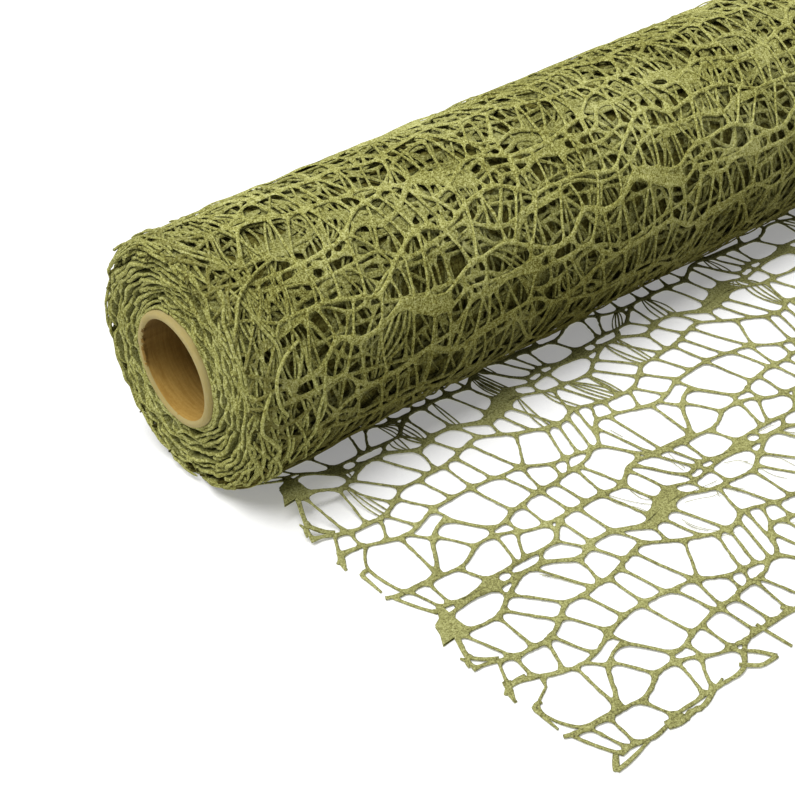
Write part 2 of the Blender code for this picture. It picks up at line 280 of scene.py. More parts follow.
def roundedGap(rim, kind, sizes):
    # the gap's edge, one point for each point of the rim, or None where the mesh is shut
    low, high = rim.min(0), rim.max(0)
    axes = [np.linspace(low[k], high[k], count) for k, count in enumerate(gapGrid)]
    grid = np.stack(np.meshgrid(*axes), -1).reshape(-1, 2)
    grid = grid[inside(grid, rim)]
    if not len(grid):
        return None
    for thin in (1.0, 0.8, 0.6, 0.45):
        half = np.where(kind % 2 == 0, sizes["rib"], sizes["rung"]) * thin
        room = clearance(grid, rim, half).min(1)
        middle = grid[np.argmax(room - 0.02 * np.linalg.norm(grid - rim.mean(0), axis=1))]
        if room.max() > 0.5:
            break
    else:
        return None
    t = np.linspace(0, 1, 50)
    out = rim - middle
    rays = (middle + out[:, None] * t[:, None]).reshape(-1, 2)
    room = clearance(rays, rim, half)
    sides = [room[:, kind == side].min(1) for side in range(4) if (kind == side).any()]
    blend = -rounding * np.log(sum(np.exp(-side / rounding) for side in sides))
    blend = blend.reshape(len(rim), -1)
    if (blend[:, 0] <= 0).any():
        blend = np.min(sides, 0).reshape(len(rim), -1)
    last = np.clip(np.cumprod(blend > 0, axis=1).sum(1) - 1, 0, len(t) - 2)
    rows = np.arange(len(rim))
    before, after = blend[rows, last], blend[rows, last + 1]
    reach = t[last] + t[1] * np.clip(before / np.maximum(before - after, 1e-9), 0, 1)
    return softened(middle + out * reach[:, None], sizes["corner"])


def softened(line, reach):
    # a closed line with its corners rounded
    side = np.linalg.norm(np.roll(line, -1, 0) - line, axis=1)
    along = np.cumsum(side) - side
    apart = np.abs(along[:, None] - along)
    apart = np.minimum(apart, side.sum() - apart)
    x, y = line.T
    area = abs((x * np.roll(y, -1) - y * np.roll(x, -1)).sum()) / 2
    reach = min(reach, 0.6 * area / side.sum())
    weight = np.exp(-(apart / reach) ** 2 / 2) * (side + np.roll(side, 1))
    return weight @ line / weight.sum(1, keepdims=True)


def curve(points, step=1.6):
    # a smooth line through listed points
    points = np.array(points, float)
    ends = np.concatenate([[2 * points[0] - points[1]], points, [2 * points[-1] - points[-2]]])
    line = []
    for a, b, c, d in zip(ends, ends[1:], ends[2:], ends[3:]):
        count = max(2, round(np.linalg.norm(c - b) / step))
        line.append(blended(a, b, c, d, (np.arange(count) / count)[:, None]))
    return np.concatenate(line + [points[-1:]])


def netPoint(points):
    # a chart point on the ground, drawn a little out of true
    x, depth = points[:, 0], points[:, 1]
    y = netChart["startY"] - depth - netChart["skew"] * (x - netChart["startX"])
    slack = netChart["slack"]
    beside = 1 - smoothStep(x, *slack["upTo"])
    y = y - slack["by"] * np.exp(-((y - slack["y"]) / slack["spread"]) ** 2) * beside
    drift = smoothStep(x, *netChart["drift"])
    return np.stack([
        x + drift * (1.5 * np.sin(0.031 * x + 0.052 * y + 1.0)
                     + 0.8 * np.sin(0.083 * y - 0.02 * x)),
        y + drift * (1.3 * np.sin(0.027 * x - 0.041 * y) + 0.7 * np.sin(0.071 * x + 0.5)),
    ], 1)


def edgeRuns(flags):
    # the runs of set flags round a closed rim, as lists of places
    first = next((i for i, flag in enumerate(flags) if not flag), 0)
    runs, run = [], []
    for step in range(1, len(flags) + 1):
        i = (first + step) % len(flags)
        if flags[i]:
            run.append(i)
        elif run:
            runs.append(run)
            run = []
    return runs + [run] if run else runs


def flatNet(template, sizes, isKept, columns, rows, seed, underside=False, stubsFrom=-1e9,
            reshape=None):
    # the net cut out along isKept: its points as (x, y, height from -1 to 1), and its faces
    net = FlatPieces()
    used, kept, cut = set(), [], []
    for row in rows:
        for column in columns:
            shift = np.array([column * netChart["width"], row * netChart["depth"]])
            for cell in template:
                if reshape:
                    cell = reshape(cell, column, row)
                if cell is None:
                    continue
                rim = netPoint(cell["rim"] + shift)
                inPlace = isKept(rim)
                if not inPlace.any():
                    continue
                keys = [tuple(p) for p in np.round(rim * 200).astype(int).tolist()]
                if not inPlace.all():
                    cut.append((rim, keys, cell["kind"], inPlace))
                    continue
                used.update(zip(keys, keys[1:] + keys[:1]))
                kept.append((rim, keys, cell["kind"]))
                if cell["gap"] is not None:
                    net.ring(rim, roughEdge(rim, netPoint(cell["gap"] + shift), seed), underside)
                elif (cell["band"], cell["rung"]) in netChart["felted"]:
                    net.web(rim, underside)
                else:
                    net.seam(rim, cell["kind"], underside)

    def draw(rim, keys, kind, flags, tapered):
        for run in edgeRuns(flags):
            line = rim[[(run[0] + j) % len(rim) for j in range(len(run) + 1)]]
            halves = np.where(kind[run] % 2 == 0, sizes["rib"], sizes["rung"])
            if tapered:  # a cut strand keeps from a fifth to all of its last step
                share = lattice(*np.array(keys[run[-1]]), seed)
                line[-1] = line[-2] + (line[-1] - line[-2]) * (0.2 + 0.8 * share)
            net.strand(line, np.append(halves, halves[-1]), seed, 0.5 if tapered else 1.0)

    # the outer half of the strands at the net's edge, then loose ends of cut strands
    for rim, keys, kind in kept:
        after = keys[1:] + keys[:1]
        draw(rim, keys, kind, [(b, a) not in used for a, b in zip(keys, after)], False)
    seen = set()
    for rim, keys, kind, inPlace in cut:
        loose = inPlace & (rim[:, 0] > stubsFrom)
        flags = []
        for a, b, free in zip(keys, keys[1:] + keys[:1], loose):
            pair = {(a, b), (b, a)}
            flags.append(bool(free) and not pair & used and not pair & seen)
            if flags[-1]:
                seen.add((a, b))
        draw(rim, keys, kind, flags, True)
    return net


def roughEdge(rim, gap, seed):
    # the gap's edge with the small unevenness of felted fibre
    out = rim - gap
    width = np.maximum(np.hypot(out[:, 0], out[:, 1]), 1e-6)
    rough = softNoise(gap[:, 0] * 0.9, gap[:, 1] * 0.9, seed)
    rough += softNoise(gap[:, 0] * 2.3, gap[:, 1] * 2.3, seed + 5)
    return gap + out / width[:, None] * np.minimum(rough * frayed, width * 0.5)[:, None]


def circle(size):
    # the places round a ring, and the place after each
    turn = np.arange(size)
    return turn, (turn + 1) % size


def ringFaces(size, a, b):
    turn, after = circle(size)
    return np.c_[turn + a * size, turn + b * size, after + b * size, after + a * size]


def latheFaces(size, count):
    # a body of revolution whose profile is closed
    faces = [ringFaces(size, k, (k + 1) % count)[:, [0, 3, 2, 1]] for k in range(count)]
    return np.concatenate(faces)


def tubeFaces(sides, count, turned=False):
    # the walls and ends of a tube whose sides are lines of count points each
    i = np.arange(count - 1)
    starts = [(k * count, (k + 1) % sides * count) for k in range(sides)]
    faces = [np.c_[a + i, b + i, b + i + 1, a + i + 1] for a, b in starts]
    for k in range(1, sides - 1, 2):
        cap = np.array([[0, k, k + 1, k + 2]]) * count
        back = cap[:, ::-1]
        faces += [back + count - 1, cap] if turned else [cap + count - 1, back]
    return np.concatenate(faces)


def addObject(name, data):
    thing = bpy.data.objects.new(name, data)
    bpy.context.scene.collection.objects.link(thing)
    return thing


class Pieces:
    # points and faces, gathered while a mesh is laid out
    def __init__(self):
        self.points = []
        self.faces = []
        self.total = 0

    def add(self, points, faces):
        self.points.append(points)
        self.faces.append(np.asarray(faces) + self.total)
        self.total += len(points)

    def shape(self):
        return np.concatenate(self.points), np.concatenate(self.faces)


class FlatPieces(Pieces):
    # the net laid out flat, its points as (x, y, height)
    section = ((1, 0), (0.66, 0.75), (0, 1), (-0.66, 0.75),
               (-1, 0), (-0.66, -0.75), (0, -1), (0.66, -0.75))

    def ring(self, rim, gap, underside):
        n = len(rim)
        width = np.maximum(np.hypot(*(rim - gap).T), 1e-6)
        shoulder = gap + (rim - gap) * np.minimum(0.45, 0.45 / width)[:, None]
        rings = [(rim, 1.0), (shoulder, 0.82), (gap, 0.0)]
        if underside:
            rings.append((rim, -1.0))
        flat = np.concatenate([r for r, h in rings])
        faces = [ringFaces(n, k, k + 1) for k in range(len(rings) - 1)]
        for part in faces[:2]:
            a, b, c, d = (flat[part[:, j]] for j in range(4))
            (px, py), (qx, qy) = (c - a).T, (d - b).T
            folded = px * qy - py * qx < 0
            part[folded] = part[folded][:, ::-1]
        self.add(np.concatenate([np.c_[r, np.full(n, h)] for r, h in rings]),
                 np.concatenate(faces))

    def web(self, rim, underside):
        # a mesh felted shut, a little hollow in its middle
        n = len(rim)
        turn, after = circle(n)
        middle = rim.mean(0)
        levels = ((1.0, 1.0), (0.8, 0.8), (0.5, 0.7), (0.2, 0.75))
        points = [np.c_[middle + (rim - middle) * share, np.full(n, h)] for share, h in levels]
        faces = [ringFaces(n, k, k + 1) for k in range(3)]
        faces.append(np.c_[turn + 3 * n, np.full((n, 2), 4 * n), after + 3 * n])
        self.add(np.concatenate(points + [[[*middle, 0.75]]]),
                 np.concatenate(faces)[:, [1, 2, 3, 0]])
        if underside:
            under = np.c_[np.concatenate([rim, [middle]]), np.full(n + 1, -1.0)]
            self.add(under, np.c_[turn, after, np.full((n, 2), n)])

    def seam(self, rim, kind, underside):
        # the sliver between two ribs that run as one, zipped shut point by point
        upper = [i for i in range(len(rim)) if kind[i] == 0 or kind[i - 1] == 0]
        lower = [i for i in range(len(rim)) if kind[i] == 2 or kind[i - 1] == 2][::-1]
        faces = []
        while len(upper) > 1 or len(lower) > 1:
            a, b = upper[0], lower[0]
            ahead = np.linalg.norm(rim[upper[1]] - rim[b]) if len(upper) > 1 else 1e9
            below = np.linalg.norm(rim[lower[1]] - rim[a]) if len(lower) > 1 else 1e9
            if ahead < below:
                faces.append([b, upper[1], a, a])
                upper.pop(0)
            else:
                faces.append([b, lower[1], a, a])
                lower.pop(0)
        faces = np.array(faces)
        (ax, ay), (bx, by), (cx, cy) = (rim[faces[:, k]].T for k in range(3))
        turned = (bx - ax) * (cy - ay) - (by - ay) * (cx - ax) < 0
        faces[turned] = faces[turned][:, [1, 0, 2, 2]]
        self.add(np.c_[rim, np.full(len(rim), 1.0)], faces)
        if underside:
            self.add(np.c_[rim, np.full(len(rim), -1.0)], faces[:, [2, 1, 0, 0]])

    def strand(self, line, halves, seed, taper=1.0, tall=1.0):
        # a flattened tube along a line of points
        count = len(line)
        tangent = np.gradient(line, axis=0)
        tangent /= np.maximum(np.hypot(*tangent.T), 1e-9)[:, None]
        across = np.c_[-tangent[:, 1], tangent[:, 0]]
        size = halves * (1 + 0.2 * softNoise(line[:, 0] * 0.7, line[:, 1] * 0.7, seed + 3))
        size[-1] *= taper
        points = [np.c_[line + across * (side * size)[:, None], np.full(count, h * tall)]
                  for side, h in self.section]
        self.add(np.concatenate(points), tubeFaces(len(self.section), count))


def makePiece(name, points, faces, node, material, second=None, isSecond=None):
    # a mesh piece from millimetres and faces of four corners, two alike in a triangle
    points = points * mm
    keys = np.round(points / weld).astype(np.int64)
    _, first, place = np.unique(keys, axis=0, return_index=True, return_inverse=True)
    place = place.reshape(-1)
    faces = place[faces]
    points = points[first]
    repeated = faces == np.roll(faces, 1, axis=1)
    whole = repeated.sum(1) < 2
    faces, repeated = faces[whole], repeated[whole]
    starts = np.concatenate([[0], np.cumsum(4 - repeated.sum(1))])
    loops = faces[~repeated]
    mesh = bpy.data.meshes.new(name)
    mesh.vertices.add(len(points))
    mesh.vertices.foreach_set("co", points.astype(np.float32).reshape(-1))
    mesh.loops.add(len(loops))
    mesh.loops.foreach_set("vertex_index", loops.astype(np.int32))
    mesh.polygons.add(len(faces))
    mesh.polygons.foreach_set("loop_start", starts[:-1].astype(np.int32))
    mesh.materials.append(material)
    if second:
        mesh.materials.append(second)
        mesh.polygons.foreach_set("material_index", isSecond[whole].astype(np.int32))
    mesh.update(calc_edges=True)
    mesh.validate()
    mesh.shade_smooth()
    piece = addObject(name, mesh)
    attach(piece, "root")
    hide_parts(node)
    return piece


class Value:
    # a socket that shader maths can be written with
    def __init__(self, tree, socket):
        self.tree = tree
        self.socket = socket

    def math(self, operation, *others):
        inputs = dict(enumerate((self, *others)))
        return self.tree.node("ShaderNodeMath", {"operation": operation}, inputs)[0]

    def __add__(self, other):
        return self.math("ADD", other)

    def __sub__(self, other):
        return self.math("SUBTRACT", other)

    def __rsub__(self, other):
        return self * -1.0 + other

    def __mul__(self, other):
        return self.math("MULTIPLY", other)

    __radd__ = __add__
    __rmul__ = __mul__


class Finish:
    # a material whose nodes are added one method call at a time
    def __init__(self, name):
        self.material = bpy.data.materials.new(name)
        self.material.use_nodes = True
        self.nodes = self.material.node_tree.nodes
        self.links = self.material.node_tree.links
        self.shader = self.nodes["Principled BSDF"]

    def node(self, kind, settings=None, inputs=None):
        node = self.nodes.new(kind)
        for key, setting in (settings or {}).items():
            if key == "stops":
                ramp = node.color_ramp
                while len(ramp.elements) < len(setting):
                    ramp.elements.new(0.5)
                for element, (position, colour) in zip(ramp.elements, setting):
                    element.position = position
                    element.color = (*colour, 1.0)
            else:
                setattr(node, key, setting)
        for key, value in (inputs or {}).items():
            self.plug(node.inputs[key], value)
        return [Value(self, output) for output in node.outputs]

    def plug(self, socket, value):
        if isinstance(value, Value):
            self.links.new(value.socket, socket)
        else:
            socket.default_value = value

    def place(self):
        return self.node("ShaderNodeTexCoord")[3]

    def noise(self, scale, detail, rough, stretch=None):
        place = self.place()
        if stretch:
            place = self.node("ShaderNodeMapping", {}, {0: place, 3: stretch})[0]
        inputs = {"Vector": place, "Scale": scale, "Detail": detail, "Roughness": rough}
        return self.node("ShaderNodeTexNoise", {}, inputs)[0]

    def ramp(self, value, stops):
        return self.node("ShaderNodeValToRGB", {"stops": stops}, {0: value})[0]

    def mix(self, factor, first, second):
        inputs = {0: factor, 6: first, 7: second}
        return self.node("ShaderNodeMix", {"data_type": "RGBA", "blend_type": "MIX"}, inputs)[2]

    def shaded(self, colour, deep, byEnds, byHeight):
        # painted shade: darker towards the ends and by height, each as (from, to, how much)
        along, across, up = self.node("ShaderNodeSeparateXYZ", {}, {0: self.place()})
        for value, (start, end, most) in ((along.math("ABSOLUTE"), byEnds), (up, byHeight)):
            inputs = {0: value, 1: start, 2: end, 3: 0.0, 4: most}
            share = self.node("ShaderNodeMapRange", {}, inputs)[0]
            colour = self.mix(share, colour, (*deep, 1.0))
        return colour

    def bump(self, height, distance, strength):
        inputs = {"Height": height, "Distance": distance, "Strength": strength}
        return self.node("ShaderNodeBump", {}, inputs)[0]

    def finish(self, **sockets):
        for name, value in sockets.items():
            self.plug(self.shader.inputs[name.replace("_", " ")], value)
        return self.material


netColours = {
    "deep": (0.060, 0.048, 0.005),
    "shade": (0.190, 0.182, 0.042),
    "body": (0.350, 0.350, 0.105),
    "pale": (0.560, 0.560, 0.240),
}


def netFinish(name, tone, soften=1.0, milky=0.0, endShade=0.0, lowShade=0.0):
    # matted fibre with light and dark flecks, with painted shade towards the roll's ends and its
    # underside where endShade and lowShade ask for it
    f = Finish(name)
    flecks = f.noise(1900.0, 1.0, 0.5)
    tufts = f.noise(800.0, 2.0, 0.5)
    cloud = f.noise(30.0, 2.0, 0.5)
    speckle = flecks * 0.62 + tufts * 0.38
    tones = {k: (r * tone, g * tone, b * tone + milky) for k, (r, g, b) in netColours.items()}
    stops = ((0.33, "deep"), (0.43, "shade"), (0.52, "body"), (0.63, "pale"))
    colour = f.ramp(speckle + (cloud - 0.5) * 0.25,
                    [(0.52 + (place - 0.52) * soften, tones[k]) for place, k in stops])
    # painted shade: darker towards the roll's ends and towards its underside
    if endShade or lowShade:
        colour = f.shaded(colour, tones["deep"], (0.224, 0.243, endShade),
                          (0.078, 0.012, lowShade))
    return f.finish(Base_Color=colour, Roughness=1.0, Specular_IOR_Level=0.08,
                    Normal=f.bump(speckle, 0.0005, 0.8))


def packedFinish():
    # painted shade: the wound net's inside coloured dark, as it lies in shade
    f = Finish("net_packed_shade")
    fibres = f.noise(900.0, 4.0, 0.7)
    colour = f.ramp(fibres, [(0.4, netColours["deep"]), (0.62, netColours["shade"])])
    return f.finish(Base_Color=colour, Roughness=1.0, Specular_IOR_Level=0.1,
                    Normal=f.bump(fibres, 0.001, 1.0))


boardColours = {
    "brown": (0.42, 0.258, 0.060),
    "dark": (0.33, 0.19, 0.038),
    "rim": (0.37, 0.305, 0.135),
    "straw": (0.36, 0.285, 0.10),
    # the darkest tone, used for painted shade deep in the bore and along its top
    "deep": (0.075, 0.042, 0.008),
}


def boardFinish(name, first, second, paintBoreShade):
    # board with streaks round the tube; in the bore, painted shade darker deep inside and along
    # its top
    f = Finish(name)
    fibre = f.noise(900.0, 4.0, 0.7)
    streak = f.noise(950.0, 3.0, 0.6, (1.0, 0.08, 0.08))
    mixed = fibre * 0.35 + streak * 0.65
    colour = f.ramp(mixed, [(0.40, boardColours[first]), (0.58, boardColours[second])])
    if paintBoreShade:
        colour = f.shaded(colour, boardColours["deep"], (0.2505, 0.2150, 0.22),
                          (0.0340, 0.0560, 0.80))
    return f.finish(Base_Color=colour, Roughness=0.85, Specular_IOR_Level=0.2,
                    Normal=f.bump(mixed, 0.0004, 0.6))


looseFinish = netFinish("net_loose", 0.89, 1.6, 0.02)
endFinish = netFinish("net_ends", 0.98, 1.25)
# painted shade: the lips' flanks deep in the gaps between them, in a much darker tone
gapShadeFinish = netFinish("net_gaps_shade", 0.52, 1.2)
# painted shade: the under yarns darker towards the roll's underside
underFinish = netFinish("net_under", 0.86, 1.25, 0.0, 0.0, 0.82)
packedShadeFinish = packedFinish()
# the bore's board, with painted shade deep inside and along its top
boreFinish = boardFinish("core_board", "dark", "brown", True)
rimFinish = boardFinish("core_rim", "straw", "rim", False)
print("materials made")


# Places on the ground in millimetres from under the roll's near end, for the repeat that starts
# at y -72: the cut side's first mesh, its strands as (half width at start, at end, line), and the
# patch that was cut through.
cutSide = {
    "mesh": {0: ((22.5, -73), (18.3, -78.5), (15.7, -83.5), (15.7, -91), (16.9, -99.8)),
             1: ((21.5, -160.5), (15.2, -165.5), (12.9, -169.5), (13.2, -174), (14.9, -179),
                 (17, -182.8))},
    "strands": (
        (0.6, 0.95, ((10.2, -78.6), (10.9, -75.2), (12.6, -72.8), (16, -71.8), (20, -72.2))),
        (1.1, 0.4, ((15.9, -83.5), (12.6, -84), (12.1, -89), (11.7, -95.3))),
        (0.8, 1, ((10.8, -98.5), (13, -99.6), (16.9, -100.6))),
        (0.8, 0.7, ((16, -128.3), (13.5, -134), (12.4, -137.4))),
        (1.5, 0.4, ((13.6, -137.8), (11, -138.3), (9.6, -141))),
        (0.9, 0.3, ((11, -138.4), (10.1, -136.3))),
        (0.9, 1, ((12.6, -138.2), (15.6, -141.8), (19, -144.4))),
        (1.7, 0.6, ((14.2, -153.3), (12.6, -155.8), (10, -157.2))),
        (0.9, 0.4, ((12.6, -156.6), (10.4, -161))),
    ),
    "missing": {(3, 0, 0), (4, 5, -1), (3, 12, -1), (0, 10, -1)},  # as (band, rung, column)
    "patch": ((20.4, -112.5), (17.4, -117.8), (14, -119.6), (12.8, -123.5), (9.9, -128.4),
              (14.4, -128), (20.4, -128.2), (21.2, -121), (21.6, -116)),
}

# What hangs from the cut end of the net, in the same places.
cutEnd = (
    (0.9, 1.2, ((17.2, -196.6), (14.6, -199.2), (12.7, -201.4))),
    (0.9, 0.6, ((12.9, -201.5), (18, -201.2), (23, -200.4), (28.5, -199.2))),
    (1.9, 2.2, ((36.5, -198.6), (40, -199.4), (43.5, -199.2))),
    (1.4, 0.5, ((42.5, -200.4), (46, -199.6), (50, -200.3), (53.5, -199.6), (58, -198),
                (63, -196.6))),
    (0.9, 0.8, ((71.2, -196), (75.8, -200.2), (79, -200.9), (83, -201))),
    (1, 0.6, ((83, -201), (80.3, -196.2), (77.8, -193.6), (75.8, -193.4))),
    (0.65, 0.65, ((75.5, -187.6), (75.9, -193.4))),
    (0.7, 0.5, ((89, -187.6), (89.3, -195), (89.7, -201.2))),
    (1.1, 0.5, ((101, -187.2), (102.7, -191.4))),
    (0.8, 0.4, ((138, -189), (140.5, -197.5))),
    (0.8, 0.7, ((163, -190), (168, -199), (176, -199.5), (179, -192))),
    (0.7, 0.4, ((206, -190.5), (207, -201))),
)

# Single fibres drawn out of the net, each as x and y of one of the same places after another.
stray = {"half": 0.12, "tall": 0.2}
strayFibres = (
    (55.6, -123.7, 59, -129.1, 61.5, -134.1, 63.3, -138.7),
    (55.9, -124.8, 59, -130.1, 61.2, -134.8, 62.9, -137.7),
    (43.5, -119.9, 48.6, -120.1, 54.5, -120.5, 57.9, -121.2),
    (102.3, -108.4, 104.1, -113.9, 107.1, -119.9, 110.3, -123.9),
    (100.9, -109, 101.4, -115.8, 104.6, -120.7, 105.6, -126),
    (109.9, -112.3, 109.5, -118.3, 112, -122.2),
    (110.8, -135.8, 111.3, -140.6, 113.1, -145, 115.9, -149.2),
    (110.3, -137.8, 110.8, -142.6, 113, -145.8),
    (134.8, -131.6, 135.2, -135.8, 137.3, -139.3, 139.5, -143.4),
    (134, -133.4, 137.1, -135.7, 139, -139.3),
    (151, -128.1, 152.2, -134.7, 152.6, -140.4, 154.5, -144.8),
    (145.1, -124, 149.6, -126.2, 151.9, -129.6), (135.3, -106.7, 133.8, -112.1, 133.1, -116.8),
    (132.8, -107, 132.2, -112, 131.6, -117.4),
    (157.3, -128, 159.6, -132.2, 161.9, -136.3, 162.2, -142),
    (133.1, -157.7, 134.5, -160.9, 137.5, -162.5),
    (120.7, -127.4, 126.8, -128, 131.9, -128.8, 135.8, -129.2),
    (118.3, -130.4, 123.8, -132.3, 128.2, -134.4, 133.5, -134.3),
    (128.6, -131, 132.1, -131.7, 129.7, -135.8, 132.9, -135.6),
    (130.4, -82.3, 130.5, -85.6, 130.7, -88.4), (113.6, -150.6, 116.7, -152.2, 118.9, -152.5),
    (130.1, -96.9, 131.6, -100.4, 132.7, -103.5),
)

# Fans of thin strands across the meshes beside the roll, each from one rib to the next.
fans = {
    "ribs": (-6, -5, -4, -3, -2),
    "count": 15,           # under each rib
    "strands": (2, 5),
    "halves": (0.26, 0.42),
    "apart": (1.2, 2.6),   # at a fan's wide end
    "across": (30.0, 470.0),
    "lean": 3.5,
    "least": 4.5,          # a mesh lower than this has none
    "tall": 0.6,
    "clear": -16.0,        # how near to the roll they may come
}


def chartDepth(x, y):
    return netChart["startY"] - y - netChart["skew"] * (x - netChart["startX"])


def onSheet(rim):
    # the wavering line along which the loose end was cut
    x, y = rim[:, 0], rim[:, 1]
    line = sheetSizes["cutLine"]
    ragged = line["rough"] * lineNoise(y / 9, 7) * smoothStep(x, 30, 60)
    low, high = line["end"]
    end = low + (high - low) * smoothStep(x, 83, 86) + ragged
    across = (x > line["left"]) & (x < line["right"] + ragged)
    return across & (y < line["underRoll"]) & (chartDepth(x, y) < end)


def firstMesh(cell, column, row):
    # the meshes beside the cut side, which are rounder than the repeat's
    key = (cell["band"], cell["rung"], column)
    if key in cutSide["missing"]:
        return None
    if key != (0, 0, 0):
        return cell
    second = row == 1
    x, y = np.array(cutSide["mesh"][second]).T
    line = curve(np.c_[x, chartDepth(x, y) - second * netChart["depth"]], 1.9)
    keep = (cell["kind"] != 3) & ~((cell["kind"] == 0) & (cell["rim"][:, 0] < line[0, 0] + 0.6))
    rim = np.concatenate([cell["rim"][keep], line[::-1]])
    kind = np.concatenate([cell["kind"][keep], np.full(len(line), 3)])
    return {**cell, "rim": rim, "kind": kind, "gap": roundedGap(rim, kind, flatStrands)}


def sheetHeight(points):
    # lifted corner by the roll, and small waves
    x, y, h = points[:, 0], points[:, 1], points[:, 2]
    across = 1 - smoothStep(x, *sheetSizes["liftWidth"])
    low, high = sheetSizes["liftTo"], sheetSizes["liftFrom"]
    along = np.clip((y - low) / (high - low), 0, 1)
    lift = sheetSizes["liftHeight"] * across * np.sin(np.pi * along) ** 2
    wave = 0.5 + 0.5 * softNoise(x / 17, y / 13, 71)
    large, small = sheetSizes["waves"]
    wave = large * wave ** 2 + small * (0.5 + 0.5 * softNoise(x / 5, y / 5, 72))
    clear = smoothStep(-y, 14.0, 26.0)
    half = sheetSizes["thickness"] / 2
    return np.stack([x, y, half * (1 + h) + lift + wave * clear], 1)


def addFans(net, seed):
    # thin strands from rib to rib, close together at one end and apart at the other
    rng = np.random.default_rng(seed)
    for rib in fans["ribs"]:
        for i in range(fans["count"]):
            middle, lean = rng.uniform(*fans["across"]), rng.normal(0, fans["lean"])
            count, apart = rng.integers(*fans["strands"]), rng.uniform(*fans["apart"])
            wide = rng.permutation((0.25, 1.0))
            bow = rng.uniform(-1.2, 1.2)
            for k in range(count):
                side = (k - (count - 1) / 2) * apart
                head, foot = middle + side * wide[0], middle + lean + side * wide[1]
                start = np.array([head, float(ribDepth(rib, head))])
                end = np.array([foot, float(ribDepth(rib + 1, foot))])
                half = rng.uniform(*fans["halves"])
                if end[1] - start[1] < fans["least"]:
                    continue
                t = np.linspace(0, 1, 8)[:, None]
                line = start + (end - start) * t + [bow + 0.4 * side, 0.0] * np.sin(np.pi * t)
                line = netPoint(line)
                if line[:, 1].max() < fans["clear"]:
                    net.strand(line, np.full(len(line), half), 3, 1.0, fans["tall"])


net = flatNet(cellTemplate(flatStrands), flatStrands, onSheet, range(-1, 5), range(-1, 2), 3,
              True, sheetSizes["stubsFrom"], firstMesh)
for row in (-1, 0, 1):
    for start, end, line in cutSide["strands"]:
        line = curve(line) - [0.0, row * netChart["depth"]]
        if -200 < line[:, 1].min() and line[:, 1].max() < -10:
            net.strand(line, np.linspace(start, end, len(line)), 3)
for row in (-1, 0):
    net.web(np.array(cutSide["patch"]) - [0.0, row * netChart["depth"]], True)
for start, end, line in cutEnd:
    line = curve(line)
    net.strand(line, np.linspace(start, end, len(line)), 3)
for line in strayFibres:
    for across in (0.0, netChart["width"], 2 * netChart["width"]):
        fibre = curve(np.reshape(line, (-1, 2))) + [across, 0.0]
        net.strand(fibre, np.full(len(fibre), stray["half"]), 3, 1.0, stray["tall"])
addFans(net, 611)
points, faces = net.shape()
shape = sheetHeight(points)
shape[:, 0] -= halfLength
looseNet = makePiece("looseNet", shape, faces, "loose_net", looseFinish)
print("loose end", len(looseNet.data.polygons))


# The turns of net round the roll.

def rollLumps(x, angle):
    # the roll's unevenness in millimetres, shared by all its turns
    arc, seed = angle * rollSizes["radius"], rollSizes["lumpSeed"]
    lumps = rollSizes["lumps"] * softNoise(x / 38, arc / 27, seed)
    lumps += 0.5 * rollSizes["lumps"] * softNoise(x / 13, arc / 11, seed + 1)
    offMiddle = (x - halfLength) / halfLength
    fuller = rollSizes["fullness"] * np.sqrt(np.clip(1 - offMiddle ** 2, 0, 1))
    under = smoothStep(-np.cos(angle), -0.97, -0.7)
    return (lumps + fuller) * under


def aboutAxis(x, r, angle, least=0.0):
    # the angle runs from under the roll up its back, and nothing goes lower than least
    return np.stack([x - halfLength, r * np.sin(angle),
                     np.maximum(rollSizes["axisHeight"] - r * np.cos(angle), least)], 1)


def sunk(fromEnd):
    depth, reach = rollSizes["sink"]
    return depth * (1 - smoothStep(fromEnd, 0.0, reach))


def wrap(points, radius, wander, seed):
    # flat (x, y, height) to the roll: y runs from under the roll up its back
    x, y, h = points[:, 0], points[:, 1], points[:, 2]
    inner = smoothStep(np.minimum(x, rollSizes["length"] - x), 0.0, 25.0)
    x, y = (x + inner * wander * softNoise(x / 27, y / 27, seed + 20),
            y + wander * softNoise(x / 25, y / 25, seed + 40))
    angle = y / rollSizes["radius"]
    r = radius - rollSizes["turnGap"] * angle / (2 * np.pi) + rollSizes["relief"] * h
    r = r + rollLumps(x, angle)
    r = r + rollSizes["crinkle"] * softNoise(x / 6.5, y / 6.5, seed)
    r = r - sunk(np.minimum(x, rollSizes["length"] - x))
    return aboutAxis(x, r, angle, 0.02 + 0.01 * (h + 1))


outerMeshes = cellTemplate(woundStrands)
innerMeshes = cellTemplate(innerStrands)
around = 2 * math.pi * rollSizes["radius"]
for number, turn in enumerate(turns):

    def onTurn(rim):
        x, y = rim[:, 0] + turn["along"], rim[:, 1] + turn["round"]
        low, high = rollSizes["ends"]
        ragged = 1.6 * lineNoise(y / 12, 50 + number)
        return (x > low + ragged) & (x < high + ragged) & (y > -3) & (y < around + 3)

    meshes, strands = (outerMeshes, woundStrands) if number < 3 else (innerMeshes, innerStrands)
    net = flatNet(meshes, strands, onTurn, range(-2, 6), range(-6, 1), 40 + number)
    points, faces = net.shape()
    points[:, 0] += turn["along"]
    points[:, 1] += turn["round"]
    radius = rollSizes["radius"] - number * rollSizes["turnGap"]
    shape = wrap(points, radius, turn["wander"], 80 + number)
    # painted shade: each turn darker the deeper it lies, and darker towards the roll's ends
    # (0.45) and its underside (0.82)
    finish = netFinish(f"net_turn{number + 1}", turn["tone"], 1.2, 0.0, 0.45, 0.82)
    piece = makePiece(f"netTurn{number + 1}", shape, faces[:, ::-1], "net_roll", finish)
    print("turn", number + 1, "polygons", len(piece.data.polygons))


yarns = {
    "count": 135,
    "lengths": (12.0, 60.0),
    "halves": (0.4, 0.72),
    "reach": 27.0,         # how far in from the end they lie
    "sides": 6,
}

